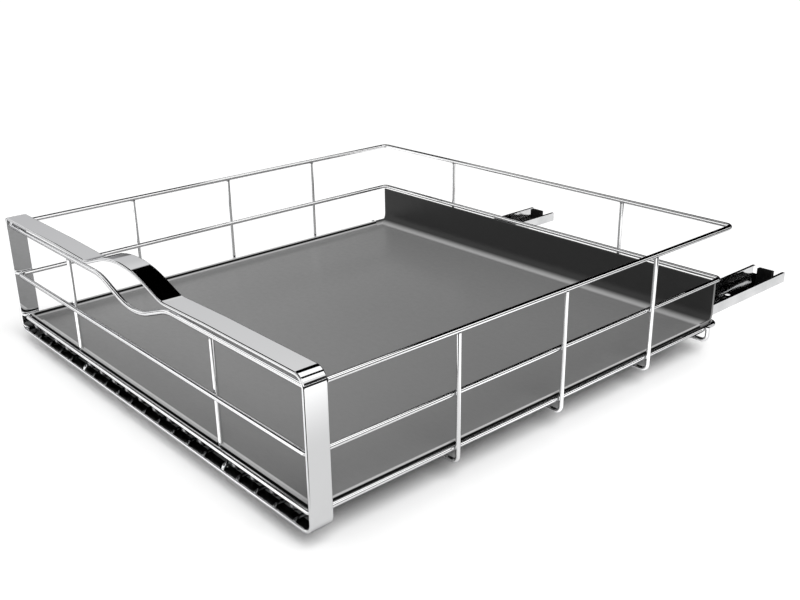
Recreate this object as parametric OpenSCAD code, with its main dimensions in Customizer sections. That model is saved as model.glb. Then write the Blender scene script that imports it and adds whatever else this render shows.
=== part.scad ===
// Pull-out basket for a kitchen cabinet: a chromed wire basket behind a bent steel strap that arches up
// into a handle, with a plastic liner tray, carried on a pair of ball-bearing slides that lie flat.
// X runs across the cabinet, Y runs back into it and Z is up. The slides stand on Z = 0.

/* [Basket] */
// Width across the outside of the front strap
basket_w = 508; // [440:1:600]
// Depth from the front of the strap to the back of the top rail
basket_d = 510; // [460:1:560]
// Height of the strap loop beside the handle
frame_h = 124; // [112:1:150]
// Height of the strap's underside above the cabinet floor
frame_lift = 16; // [14:0.5:22]

/* [Strap] */
// Width of the flat strap, front to back
strap_w = 20; // [16:1:26]
// Thickness of the flat strap
strap_t = 3; // [2:0.5:4]
// Radius of the strap's corners, on its middle line
strap_bend_r = 8.5; // [6:0.5:12]

/* [Handle] */
// How far the handle arch rises above the strap
arch_rise = 14; // [10:1:20]
// How far the strap dips beside the arch
arch_dip = 1.5; // [0.5:0.5:3]
// Radius over the crown of the arch
crown_r = 130; // [100:5:160]
// Slope of the flanks of the arch, in degrees
arch_slope = 19; // [15:1:24]
// How far the wire below the arch dips to let fingers in
grip_dip = 16.5; // [10:0.5:24]
// Slope of the wire's flanks, in degrees
grip_slope = 20; // [15:1:24]

/* [Wires] */
// Diameter of the rails and of the handle wire
rail_d = 4.5; // [4:0.5:5]
// Diameter of the upright wires that run on under the floor
rib_d = 4; // [3.5:0.5:4.5]
// Diameter of the thin floor wires
floor_d = 3.5; // [3:0.5:4]
// Height of the top rail's middle above the strap's underside
top_rail_z = 114.5; // [104:0.5:118]
// Height of the handle wire's middle above the strap's underside
handle_wire_z = 110; // [100:0.5:112]
// Height of the middle ring's wire above the strap's underside
middle_ring_z = 61.5; // [50:0.5:72]
// Height of the bottom ring's wire above the strap's underside
bottom_ring_z = 15; // [14:0.5:20]
// Height of the cross wires' middle above the strap's underside
cross_wire_z = 3; // [3:0.5:4]

/* [Liner tray] */
// Thickness of the tray's sheet
tray_t = 3; // [2:0.5:3]
// Height of the low rim above the tray's floor
rim_h = 6.8; // [6:0.2:10]
// Radius of the cove between the floor and the back wall
cove_r = 14; // [10:1:18]

/* [Slides] */
// Length of the cabinet members
slide_len = 508; // [480:1:530]
// Distance from the basket's outside to the middle of each slide
slide_inset = 78.5; // [70:0.5:98]
// Gap from the front of the strap back to the front end of the drawer members
slide_setback = 50; // [40:1:60]
// How far the basket stands out from its closed place
shown_out = 180; // [150:1:200]
// Diameter of the screw holes in the cabinet members
screw_hole_d = 6; // [4:0.5:6.5]

/* [Hidden] */
wire_fn = 32;
ball_fn = 24;
tube_sides = 24;
chord_error = 0.02; // how far a drawn bend's flats may leave the true curve
weld_gap = 0.05;    // clearance between wires that touch side by side
weld_bite = 0.3;    // how far a wire's end sinks into the wire that it is welded to

// Where the object stands: the middle of its whole length is at Y = 0
total_len = shown_out + slide_setback + slide_len;
front_y = -total_len / 2;
back_y = front_y + basket_d;
base_z = frame_lift;

// Places of the wires
strap_in_x = basket_w / 2 - strap_t;
ring_x = strap_in_x - rail_d / 2 - weld_gap;
rib_x = ring_x + rail_d / 2 + rib_d / 2 + weld_gap;
top_rail_x = basket_w / 2 - strap_t / 2;
ring_setback = 4.8; // front of the strap to the middle of the rings' front wire
ring_front_y = front_y + ring_setback;
upright_front_y = ring_front_y + rail_d / 2 + rib_d / 2 + weld_gap;
top_rail_y = back_y - rail_d / 2;
ring_back_y = top_rail_y - rib_d / 2 - rail_d / 2 - weld_gap;
ring_bend_r = 6;
top_bend_r = 7;
cross_bend_r = 6;
long_bend_r = 6;
long_wire_z = cross_wire_z + rib_d + weld_gap;
floor_wire_z = cross_wire_z + rib_d / 2 + floor_d / 2 + weld_gap;
rib_top_z = top_rail_z - rail_d / 2 + weld_bite;
upright_top_z = handle_wire_z - rail_d / 2 + weld_bite;
hook_top_z = bottom_ring_z - rail_d / 2 + weld_bite;

// The floor wires share the width in equal steps, and the two long wires take one step each
FLOOR_STEPS = 9;    // steps on each side of the middle
LONG_STEP = 5;      // the step that each long wire takes
floor_edge = 29;    // basket's outside to the middle of the first floor wire
floor_pitch = (basket_w / 2 - floor_edge) / FLOOR_STEPS;
long_x = LONG_STEP * floor_pitch;
FLOOR_SLOTS = [for (slot = [-FLOOR_STEPS:FLOOR_STEPS]) if (abs(slot) != LONG_STEP) slot];

// The cross wires stand at the quarters between the strap and the back
CROSS_NAMES = ["front", "middle", "rear"];
bay_d = (top_rail_y - front_y - strap_w) / 4;
short_cross_inset = 27;
short_cross_y = back_y - short_cross_inset;

// Handle: the flanks meet at a peak that the crown's radius rounds off
function peak_over(r, slope) = r * (1 / cos(slope) - 1);
crown_middle_r = crown_r - strap_t / 2;
arch_peak = arch_rise + peak_over(crown_middle_r, arch_slope);
arch_foot_x = (arch_peak + arch_dip) / tan(arch_slope);
arch_foot_r = 40;
arch_fade = 65;     // length over which the strap rises back beside the arch
arch_fade_r = 200;
grip_r = 79;
grip_foot_r = 60;
grip_peak = grip_dip + peak_over(grip_r, grip_slope);
grip_foot_x = grip_peak / tan(grip_slope);

// Tray: it lies on the long wires
tray_gap = 0.4;
tray_back_gap = 0.3;
notch_gap = 0.8;
tray_side_x = ring_x - rail_d / 2 - tray_gap;
tray_front_y = ring_front_y + rail_d / 2 + tray_gap;
tray_back_y = ring_back_y - rail_d / 2 - tray_back_gap;
tray_low_z = long_wire_z + rib_d / 2 + weld_gap;
tray_floor_z = tray_low_z + tray_t;
tray_wall_t = 2.2;
tray_wall_z = middle_ring_z - rail_d / 2;
tray_edge_r = 3;
rim_t = 2;
rim_fillet_r = 5;
rim_w = rim_t + rim_fillet_r;
notch_w = rib_d + 2 * notch_gap;
notch_d = upright_front_y + long_bend_r - tray_front_y;

// Slides: three nested members with two rows of balls on each side
SIDES = ["left", "right"];
slide_gap = basket_w - 2 * slide_inset;
slide_y = front_y + shown_out + slide_setback;
cabinet_half = 20.5;
cabinet_h = 11.5;
sheet_t = 1.2;
lip_w = 3.5;
outer_ball_d = 4.4;
inner_ball_d = 3.8;
ball_gap = 0.15;
outer_ball_x = cabinet_half - sheet_t - outer_ball_d / 2 - ball_gap;
middle_half = outer_ball_x - outer_ball_d / 2 - ball_gap;
inner_ball_x = middle_half - sheet_t - inner_ball_d / 2 - ball_gap;
drawer_half = inner_ball_x - inner_ball_d / 2 - ball_gap;
middle_low_z = 2.4;
middle_h = 8.2;
middle_lip_w = 2.6;
drawer_low_z = 5;
drawer_top_z = 12;
outer_ball_z = 6;
inner_ball_z = 6.8;
end_room = 26;      // rear end of the cabinet members past the closed inner members
inner_len = slide_len - end_room;
drawer_y = front_y + slide_setback;
middle_y = slide_y - shown_out / 2;

// The cages keep inside the part of the members that still overlaps when the basket is right out
overlap = inner_len / 2 + 1;
pull_left = 2 * (inner_len - overlap) - shown_out;
cage_margin = 11;
cage_len = overlap - 2 * cage_margin;
outer_cage_y = slide_y + cage_margin + pull_left / 4;
inner_cage_y = middle_y + cage_margin + pull_left / 4;
cage_t = 0.7;
cage_web_t = 0.5;
ball_pitch = 20;
first_hole = 37;
hole_step = 192;    // six 32 mm steps
HOLE_PLACES = [for (place = [0:2]) first_hole + place * hole_step];
bumper_t = 6;
bumper_y = slide_y + inner_len + 1;
bumper_low_x = -1.5;
bumper_high_x = cabinet_half - lip_w - 0.2;
bumper_top_z = 17.5;
bumper_peg_d = 5;

// Saddles: hat-shaped strips that tie the cross wires to the drawer members
saddle_len = 17;
saddle_t = 1.5;
saddle_hump = 12;
saddle_foot = 14;
saddle_top_z = base_z + cross_wire_z - rib_d / 2 - weld_gap;
saddle_screw_y = saddle_hump / 2 + saddle_foot / 2;
saddle_screw_d = 4;
saddle_head_d = 7;
saddle_head_h = 1.8;

// ---- Bent paths: a path is a list of corners in a plane, each rounded to its own radius ----

function unit(v) = v / norm(v);
function left_of(v) = [-v[1], v[0]];
function turn_angle(a, b, c) =
    let (u = unit(b - a), v = unit(c - b))
    atan2(u[0] * v[1] - u[1] * v[0], u * v);
function bend_reach(a, b, c, r) = r * tan(abs(turn_angle(a, b, c)) / 2);
function bend_start(a, b, c, r) = b - bend_reach(a, b, c, r) * unit(b - a);
function bend_end(a, b, c, r) = b + bend_reach(a, b, c, r) * unit(c - b);
function bend_middle(a, b, c, r) =
    bend_start(a, b, c, r) + sign(turn_angle(a, b, c)) * r * left_of(unit(b - a));
function bend_steps(r, angle) = max(2, ceil(abs(angle) / (sqrt(8 * chord_error / r) * 180 / PI)));
function arc_points(middle, r, from, to) =
    let (steps = bend_steps(r, to - from))
    [for (step = [0:steps])
        let (angle = from + (to - from) * step / steps)
        middle + r * [cos(angle), sin(angle)]];

// The points of one bend, moved towards the left of the path by inset
function bend_points(a, b, c, r, inset = 0) =
    let (
        angle = turn_angle(a, b, c),
        middle = bend_middle(a, b, c, r),
        spoke = bend_start(a, b, c, r) - middle,
        from = atan2(spoke[1], spoke[0])
    )
    arc_points(middle, r - sign(angle) * inset, from, from + angle);
function loop_points(corners, radii, inset) =
    let (n = len(corners))
    [for (i = [0:n - 1])
        each bend_points(corners[(i + n - 1) % n], corners[i], corners[(i + 1) % n], radii[i], inset)];
function open_points(corners, radii) =
    let (last = len(corners) - 1)
    [
        corners[0],
        for (i = [1:last - 1]) each bend_points(corners[i - 1], corners[i], corners[i + 1], radii[i]),
        corners[last]
    ];

// Stand a flat drawing up: its X stays X and its Y becomes Z
module upright_xz(y) {
    translate([0, y, 0]) rotate([90, 0, 0]) children();
}

// Stand a flat drawing up: its X becomes Y and its Y becomes Z
module upright_yz(x) {
    translate([x, 0, 0]) rotate([90, 0, 90]) children();
}

// A straight length of bar; the drawn profile's +X points to the right of the way along
module straight_bar(from, to) {
    run = to - from;
    if (norm(run) > 0.02)
        translate([from[0], from[1], 0])
            rotate([0, 0, atan2(run[1], run[0]) - 90])
                translate([0, norm(run), 0])
                    rotate([90, 0, 0])
                        linear_extrude(norm(run)) children();
}

module bar_bend(a, b, c, r) {
    angle = turn_angle(a, b, c);
    middle = bend_middle(a, b, c, r);
    spoke = bend_start(a, b, c, r) - middle;
    translate([middle[0], middle[1], 0])
        rotate([0, 0, atan2(spoke[1], spoke[0])])
            rotate_extrude(angle = angle, $fn = wire_fn * 4)
                translate([r, 0]) mirror([angle < 0 ? 1 : 0, 0]) children();
}

// An open bar with square ends; radii[i] rounds corners[i]
module bent_bar(corners, radii) {
    last = len(corners) - 1;
    for (i = [0:last - 1]) {
        from = i == 0 ? corners[0] : bend_end(corners[i - 1], corners[i], corners[i + 1], radii[i]);
        to = i + 1 == last ? corners[last]
            : bend_start(corners[i], corners[i + 1], corners[i + 2], radii[i + 1]);
        straight_bar(from, to) children();
    }
    for (i = [1:last - 1]) bar_bend(corners[i - 1], corners[i], corners[i + 1], radii[i]) children();
}

// A closed bar with every corner rounded to r
module bar_ring(corners, r) {
    n = len(corners);
    for (i = [0:n - 1]) {
        before = corners[(i + n - 1) % n];
        after = corners[(i + 1) % n];
        beyond = corners[(i + 2) % n];
        straight_bar(bend_end(before, corners[i], after, r), bend_start(corners[i], after, beyond, r))
            children();
        bar_bend(before, corners[i], after, r) children();
    }
}

module wire(d) {
    circle(d = d, $fn = wire_fn);
}

// A round tube swept through points of a flat drawing, for gentle bends at odd angles
module swept_tube(points, d) {
    last = len(points) - 1;
    rings = [
        for (i = [0:last])
            let (
                way = unit(points[min(i + 1, last)] - points[max(i - 1, 0)]),
                out = left_of(way)
            )
            for (side = [0:tube_sides - 1])
                let (angle = 360 * side / tube_sides)
                [
                    points[i][0] + out[0] * cos(angle) * d / 2,
                    points[i][1] + out[1] * cos(angle) * d / 2,
                    sin(angle) * d / 2
                ]
    ];
    walls = [
        for (i = [0:last - 1])
            for (side = [0:tube_sides - 1])
                let (
                    here = i * tube_sides,
                    next = here + tube_sides,
                    beside = (side + 1) % tube_sides
                )
                [here + side, next + side, next + beside, here + beside]
    ];
    start_cap = [for (side = [0:tube_sides - 1]) side];
    end_cap = [for (side = [tube_sides - 1:-1:0]) last * tube_sides + side];
    polyhedron(rings, concat([start_cap], walls, [end_cap]));
}

// ---- Front: strap loop with its handle arch ----

module front_frame() {
    side = basket_w / 2 - strap_t / 2;
    low = base_z + strap_t / 2;
    high = base_z + frame_h - strap_t / 2;
    corners = [
        [-side, low], [side, low], [side, high],
        [arch_foot_x + arch_fade, high], [arch_foot_x, high - arch_dip],
        [0, high + arch_peak],
        [-arch_foot_x, high - arch_dip], [-arch_foot_x - arch_fade, high],
        [-side, high]
    ];
    radii = [
        strap_bend_r, strap_bend_r, strap_bend_r,
        arch_fade_r, arch_foot_r,
        crown_middle_r,
        arch_foot_r, arch_fade_r,
        strap_bend_r
    ];
    color("silver")
        upright_xz(front_y + strap_w)
            linear_extrude(strap_w)
                difference() {
                    polygon(loop_points(corners, radii, -strap_t / 2));
                    polygon(loop_points(corners, radii, strap_t / 2));
                }
}

// The wire under the strap, dipping below the arch
module handle_wire() {
    level = base_z + handle_wire_z;
    corners = [
        [-strap_in_x, level], [-grip_foot_x, level], [0, level - grip_peak],
        [grip_foot_x, level], [strap_in_x, level]
    ];
    radii = [0, grip_foot_r, grip_r, grip_foot_r, 0];
    color("silver") upright_xz(upright_front_y) swept_tube(open_points(corners, radii), rail_d);
}

// ---- Rails: closed rings inside the uprights and the open rail along the top ----

module ring(z) {
    corners = [
        [-ring_x, ring_front_y], [ring_x, ring_front_y], [ring_x, ring_back_y], [-ring_x, ring_back_y]
    ];
    color("silver") translate([0, 0, base_z + z]) bar_ring(corners, ring_bend_r) wire(rail_d);
}

module top_rail() {
    start_y = front_y + strap_w;
    corners = [
        [-top_rail_x, start_y], [-top_rail_x, top_rail_y], [top_rail_x, top_rail_y], [top_rail_x, start_y]
    ];
    radii = [0, top_bend_r, top_bend_r, 0];
    color("silver") translate([0, 0, base_z + top_rail_z]) bent_bar(corners, radii) wire(rail_d);
}

// ---- Upright wires that run on under the floor ----

// A wire across the basket: up outside the rings on both sides to the height end_z
module cross_wire(y, end_z) {
    low = base_z + cross_wire_z;
    high = base_z + end_z;
    corners = [[-rib_x, high], [-rib_x, low], [rib_x, low], [rib_x, high]];
    radii = [0, cross_bend_r, cross_bend_r, 0];
    color("silver") upright_xz(y) bent_bar(corners, radii) wire(rib_d);
}

// A wire from the handle wire down, back under the floor and up to the top rail
module long_wire(side) {
    low = base_z + long_wire_z;
    corners = [
        [upright_front_y, base_z + upright_top_z], [upright_front_y, low],
        [top_rail_y, low], [top_rail_y, base_z + rib_top_z]
    ];
    radii = [0, long_bend_r, long_bend_r, 0];
    color("silver") upright_yz(side * long_x) bent_bar(corners, radii) wire(rib_d);
}

// A thin wire hung from the bottom ring at the front and at the back
module floor_wire(slot) {
    low = base_z + floor_wire_z;
    high = base_z + hook_top_z;
    hook_r = high - low - 0.1;
    corners = [[ring_front_y, high], [ring_front_y, low], [ring_back_y, low], [ring_back_y, high]];
    radii = [0, hook_r, hook_r, 0];
    color("gainsboro") upright_yz(slot * floor_pitch) bent_bar(corners, radii) wire(floor_d);
}

// ---- Liner tray ----

// Section from front to back, inside the rim: floor, cove and back wall
module tray_section() {
    inner_y = tray_back_y - tray_wall_t;
    cove = [inner_y - cove_r, tray_floor_z + cove_r];
    outer_r = cove_r + (tray_t + tray_wall_t) / 2;
    outer = [tray_back_y - outer_r, tray_low_z + outer_r];
    polygon(concat(
        [[tray_front_y + rim_w, tray_low_z]],
        arc_points(outer, outer_r, -90, 0),
        [[tray_back_y, tray_wall_z], [inner_y, tray_wall_z]],
        arc_points(cove, cove_r, 0, -90),
        [[tray_front_y + rim_w, tray_floor_z]]
    ));
}

// Section of the low rim: its outer face is at X = 0 and its fillet runs into the floor towards -X
module rim_section() {
    high = tray_floor_z + rim_h;
    polygon(concat(
        arc_points([-tray_edge_r, tray_low_z + tray_edge_r], tray_edge_r, -90, 0),
        [[0, high], [-rim_t, high]],
        arc_points([-rim_w, tray_floor_z + rim_fillet_r], rim_fillet_r, 0, -90),
        [[-rim_w, tray_low_z]]
    ));
}

module liner_tray() {
    inner_x = tray_side_x - rim_w;
    rim_back_y = tray_back_y - tray_wall_t / 2;
    corners = [
        [-tray_side_x, rim_back_y], [-tray_side_x, tray_front_y],
        [tray_side_x, tray_front_y], [tray_side_x, rim_back_y]
    ];
    radii = [0, rim_w, rim_w, 0];
    color("dimgray")
        translate([0, 0, base_z])
            difference() {
                union() {
                    upright_yz(-inner_x) linear_extrude(2 * inner_x) tray_section();
                    for (side = [-1, 1])
                        translate([side * (inner_x + rim_w / 2), 0, 0])
                            upright_yz(-rim_w / 2) linear_extrude(rim_w) back_wall_section();
                    bent_bar(corners, radii) rim_section();
                }
                for (side = [-1, 1])
                    translate([side * long_x - notch_w / 2, tray_front_y - 1, tray_low_z - 1])
                        cube([notch_w, notch_d + 1, rim_h + tray_t + 2]);
            }
}

// The back wall with its cove, cut off where the floor starts
module back_wall_section() {
    intersection() {
        tray_section();
        translate([tray_back_y - 2 * cove_r, tray_low_z]) square([2 * cove_r, tray_wall_z]);
    }
}

// ---- Saddles between the cross wires and the drawer members ----

module at_slide(side) {
    translate([side * slide_gap / 2, 0, 0]) children();
}

module at_saddles() {
    for (bay = [1:3]) translate([0, front_y + strap_w + bay * bay_d, 0]) children();
}

module saddle() {
    foot = saddle_hump / 2 + saddle_foot;
    top = saddle_top_z;
    low = drawer_top_z;
    difference() {
        upright_yz(-saddle_len / 2)
            linear_extrude(saddle_len)
                polygon([
                    [-foot, low], [-saddle_hump / 2 + saddle_t, low],
                    [-saddle_hump / 2 + saddle_t, top - saddle_t], [saddle_hump / 2 - saddle_t, top - saddle_t],
                    [saddle_hump / 2 - saddle_t, low], [foot, low],
                    [foot, low + saddle_t], [saddle_hump / 2, low + saddle_t],
                    [saddle_hump / 2, top], [-saddle_hump / 2, top],
                    [-saddle_hump / 2, low + saddle_t], [-foot, low + saddle_t]
                ]);
        for (end = [-1, 1])
            translate([0, end * saddle_screw_y, low - 1])
                cylinder(h = saddle_t + 2, d = saddle_screw_d + 0.1, $fn = wire_fn);
    }
}

module saddles(side) {
    color("lightgray") at_slide(side) at_saddles() saddle();
}

module saddle_screws(side) {
    seat = drawer_top_z + saddle_t;
    color("gray") at_slide(side) at_saddles()
        for (end = [-1, 1]) translate([0, end * saddle_screw_y, 0]) {
            translate([0, 0, seat]) cylinder(h = saddle_head_h, d = saddle_head_d, $fn = wire_fn);
            translate([0, 0, drawer_top_z - 4])
                cylinder(h = seat - drawer_top_z + 4.5, d = saddle_screw_d, $fn = wire_fn);
        }
}

// ---- Slides ----

// Section of an open channel with rolled-in lips, web down
module channel_section(half, low, high, lip) {
    top = low + high;
    polygon([
        [-half, low], [half, low], [half, top], [half - lip, top], [half - lip, top - sheet_t],
        [half - sheet_t, top - sheet_t], [half - sheet_t, low + sheet_t],
        [-half + sheet_t, low + sheet_t], [-half + sheet_t, top - sheet_t],
        [-half + lip, top - sheet_t], [-half + lip, top], [-half, top]
    ]);
}

module cabinet_member(side) {
    color("silver") at_slide(side) difference() {
        translate([0, slide_y + slide_len, 0]) upright_xz(0)
            linear_extrude(slide_len) channel_section(cabinet_half, 0, cabinet_h, lip_w);
        for (place = HOLE_PLACES)
            translate([0, slide_y + place, -1]) cylinder(h = sheet_t + 2, d = screw_hole_d, $fn = wire_fn);
        translate([(bumper_low_x + bumper_high_x) / 2, bumper_y + bumper_t / 2, -1])
            cylinder(h = sheet_t + 2, d = bumper_peg_d + 0.2, $fn = wire_fn);
    }
}

module middle_member(side) {
    color("silver") at_slide(side)
        translate([0, middle_y + inner_len, 0]) upright_xz(0)
            linear_extrude(inner_len) channel_section(middle_half, middle_low_z, middle_h, middle_lip_w);
}

module drawer_member(side) {
    wall_x = drawer_half - sheet_t;
    web_z = drawer_top_z - sheet_t;
    color("silver") at_slide(side) difference() {
        translate([0, drawer_y + inner_len, 0]) upright_xz(0)
            linear_extrude(inner_len)
                polygon([
                    [-drawer_half, drawer_low_z], [-wall_x, drawer_low_z], [-wall_x, web_z],
                    [wall_x, web_z], [wall_x, drawer_low_z], [drawer_half, drawer_low_z],
                    [drawer_half, drawer_top_z], [-drawer_half, drawer_top_z]
                ]);
        at_saddles()
            for (end = [-1, 1]) translate([0, end * saddle_screw_y, web_z - 1])
                cylinder(h = sheet_t + 2, d = saddle_screw_d + 0.1, $fn = wire_fn);
    }
}

// Balls along one side of a cage, centred on its length
module at_balls(y, d) {
    count = floor((cage_len - d) / ball_pitch);
    margin = (cage_len - (count - 1) * ball_pitch) / 2;
    for (ball = [0:count - 1]) translate([0, y + margin + ball * ball_pitch, 0]) children();
}

// A ball cage: a thin web with a punched strip standing on each side
module cage(y, strip_x, low, strip_h, ball_z, ball_d) {
    half = strip_x + cage_t / 2;
    difference() {
        translate([0, y + cage_len, 0]) upright_xz(0)
            linear_extrude(cage_len)
                polygon([
                    [-half, low], [half, low], [half, low + strip_h], [half - cage_t, low + strip_h],
                    [half - cage_t, low + cage_web_t], [-half + cage_t, low + cage_web_t],
                    [-half + cage_t, low + strip_h], [-half, low + strip_h]
                ]);
        at_balls(y, ball_d)
            translate([-half - 1, 0, ball_z]) rotate([0, 90, 0])
                cylinder(h = 2 * half + 2, d = ball_d + 0.2, $fn = wire_fn);
    }
}

module ball_rows(y, x, z, d) {
    for (row = [-1, 1])
        at_balls(y, d) translate([row * x, 0, z]) sphere(d = d, $fn = ball_fn);
}

module outer_cage(side) {
    color("goldenrod") at_slide(side)
        cage(outer_cage_y, outer_ball_x, sheet_t + 0.35, 8, outer_ball_z, outer_ball_d);
}

module inner_cage(side) {
    color("goldenrod") at_slide(side)
        cage(inner_cage_y, inner_ball_x, middle_low_z + sheet_t + 0.35, 5.2, inner_ball_z, inner_ball_d);
}

module outer_balls(side) {
    color("white") at_slide(side)
        ball_rows(outer_cage_y, outer_ball_x, outer_ball_z, outer_ball_d);
}

module inner_balls(side) {
    color("white") at_slide(side)
        ball_rows(inner_cage_y, inner_ball_x, inner_ball_z, inner_ball_d);
}

// The black stop at the rear end, held by a peg through the web
module end_bumper(side) {
    peg_x = (bumper_low_x + bumper_high_x) / 2;
    color("black") at_slide(side) {
        translate([bumper_low_x, bumper_y, sheet_t])
            cube([bumper_high_x - bumper_low_x, bumper_t, bumper_top_z - sheet_t]);
        translate([peg_x, bumper_y + bumper_t / 2, 0.2])
            cylinder(h = sheet_t + 1, d = bumper_peg_d, $fn = wire_fn);
    }
}

// ---- The assembly ----

front_frame();
handle_wire();
ring(middle_ring_z);  // middle_ring
ring(bottom_ring_z);  // bottom_ring
top_rail();
for (bay = [1:3])
    cross_wire(front_y + strap_w + bay * bay_d, rib_top_z);
cross_wire(short_cross_y, bottom_ring_z + rail_d / 2);  // cross_wire_short
for (slot = [1:len(FLOOR_SLOTS)])
    floor_wire(FLOOR_SLOTS[slot - 1]);
liner_tray();
for (i = [0, 1]) {
    name = SIDES[i];
    side = i == 0 ? -1 : 1;
    long_wire(side);
    saddles(side);
    saddle_screws(side);
    drawer_member(side);
    middle_member(side);
    cabinet_member(side);
    outer_cage(side);
    inner_cage(side);
    outer_balls(side);
    inner_balls(side);
    end_bumper(side);
}
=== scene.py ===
"""Looks of a pull-out cabinet basket: chromed strap and wires, plastic liner tray and ball-bearing slides.

Sizes are in millimetres inside the classes, in the frame of the construction model: X across, Y back
into the cabinet and Z up from the cabinet floor. A mesh is scaled to metres when it is made.
"""

import logging
import math
from dataclasses import dataclass, field
from enum import Enum
from functools import reduce
from typing import Union

import bmesh
import bpy
import numpy as np
from mathutils import Matrix, Vector


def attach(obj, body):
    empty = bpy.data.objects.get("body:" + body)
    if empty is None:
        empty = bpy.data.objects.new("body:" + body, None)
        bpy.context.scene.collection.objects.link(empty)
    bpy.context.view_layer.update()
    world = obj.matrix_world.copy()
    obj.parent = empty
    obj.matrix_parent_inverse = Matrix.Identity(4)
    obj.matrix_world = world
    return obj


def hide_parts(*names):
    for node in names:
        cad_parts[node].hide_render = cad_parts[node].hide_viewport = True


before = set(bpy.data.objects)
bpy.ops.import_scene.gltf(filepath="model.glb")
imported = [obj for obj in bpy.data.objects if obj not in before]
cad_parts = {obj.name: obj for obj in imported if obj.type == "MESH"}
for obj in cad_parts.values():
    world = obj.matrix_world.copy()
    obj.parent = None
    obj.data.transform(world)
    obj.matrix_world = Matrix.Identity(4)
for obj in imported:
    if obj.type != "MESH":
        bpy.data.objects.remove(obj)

MM = 0.001
LOG = logging.getLogger("basket")

Pair = tuple[float, float]
Triple = tuple[float, float, float]
Shell = tuple[np.ndarray, list[list[int]]]
Socket = bpy.types.NodeSocket
Value = Union[Socket, float]


class Body(Enum):
    """Bodies of the construction model that the pieces ride on."""

    BASKET = "basket"
    RAILS = "rails"
    MIDDLE_LEFT = "middle_left"
    MIDDLE_RIGHT = "middle_right"


class Slot(Enum):
    """Material slots of the record."""

    CHROME = "chrome"
    LINER = "liner"
    ZINC = "zinc"
    SCREW = "screw"
    BUMPER = "bumper"


class Plane(Enum):
    """Planes that a flat drawing (u, v) can stand in, as the axes of u, v and the drawing's normal."""

    LEVEL = ((1, 0, 0), (0, 1, 0), (0, 0, 1))
    ACROSS = ((1, 0, 0), (0, 0, 1), (0, -1, 0))
    ALONG = ((0, 1, 0), (0, 0, 1), (1, 0, 0))

    def lift(self, flat: np.ndarray, level: float = 0.0) -> np.ndarray:
        """Stands flat points or directions up in the plane.

        Args:
            flat: array of (u, v) pairs.
            level: place of the plane along its normal.

        Returns:
            Array of (x, y, z) triples.
        """
        u, v, n = (np.array(axis, float) for axis in self.value)
        return flat[..., 0:1] * u + flat[..., 1:2] * v + level * n


# ---- Paths and surfaces ----


@dataclass(frozen=True)
class FlatPath:
    """A path in a plane: corners joined by straight lines, each corner rounded to its own radius."""

    corners: tuple[Pair, ...]
    radii: tuple[float, ...]
    closed: bool = False
    step: float = 3.0

    def bend(self, a: np.ndarray, b: np.ndarray, c: np.ndarray, r: float) -> tuple[np.ndarray, np.ndarray]:
        """Points and directions of one bend: a circle of radius r that touches both sides of corner b.

        Args:
            a: the corner before.
            b: the corner that is rounded.
            c: the corner after.
            r: radius of the bend.

        Returns:
            Points of the arc and the unit direction of the path at each.
        """
        u = (b - a) / np.linalg.norm(b - a)
        v = (c - b) / np.linalg.norm(c - b)
        angle = math.atan2(u[0] * v[1] - u[1] * v[0], float(u @ v))
        if r <= 0 or abs(angle) < 1e-9:
            return b[None], u[None]
        reach = r * math.tan(abs(angle) / 2)
        left = np.array([-u[1], u[0]]) * math.copysign(1, angle)
        middle = b - reach * u + r * left
        turn = np.linspace(0, angle, max(3, math.ceil(abs(math.degrees(angle)) / self.step) + 1))
        cos, sin = np.cos(turn)[:, None], np.sin(turn)[:, None]
        side = np.array([-left[1], left[0]])
        points = middle + r * (-left * cos - side * sin)
        ways = u * cos + np.array([-u[1], u[0]]) * sin
        return points, ways

    def trace(self) -> tuple[np.ndarray, np.ndarray]:
        """The whole path.

        Returns:
            Points (n, 2) and unit directions (n, 2). A closed path doesn't repeat its first point.
        """
        corners = np.array(self.corners, float)
        count = len(corners)
        points, ways = [], []
        for i in range(count):
            if not self.closed and i in (0, count - 1):
                other = corners[1] - corners[0] if i == 0 else corners[-1] - corners[-2]
                points.append(corners[i][None])
                ways.append((other / np.linalg.norm(other))[None])
                continue
            p, w = self.bend(corners[i - 1], corners[i], corners[(i + 1) % count], self.radii[i])
            points.append(p)
            ways.append(w)
        return np.concatenate(points), np.concatenate(ways)


@dataclass(frozen=True)
class Profile:
    """A closed section (right, up) that is carried along a path, with the corners that stay crisp."""

    points: np.ndarray
    crisp: tuple[int, ...] = ()

    @staticmethod
    def round_bar(d: float, sides: int) -> "Profile":
        """Section of a round wire: (d/2 cos a, d/2 sin a)."""
        a = np.arange(sides) * 2 * math.pi / sides
        return Profile(np.stack([np.cos(a), np.sin(a)], 1) * d / 2)

    @staticmethod
    def soft_polygon(corners: list[Pair], radii: list[float], step: float) -> "Profile":
        """A closed outline whose corners are rounded; the ends of each arc stay crisp, so flats shade flat.

        Args:
            corners: corners in turn.
            radii: rounding radius of each corner.
            step: largest turn between two points of an arc, in degrees.

        Returns:
            The section.
        """
        path = FlatPath(tuple(corners), tuple(radii), closed=True, step=step)
        rows = np.array(corners, float)
        count = len(rows)
        crisp, at = [], 0
        for i in range(count):
            p, _ = path.bend(rows[i - 1], rows[i], rows[(i + 1) % count], radii[i])
            crisp += [at, at + len(p) - 1]
            at += len(p)
        return Profile(path.trace()[0], tuple(sorted(set(crisp))))


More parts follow.
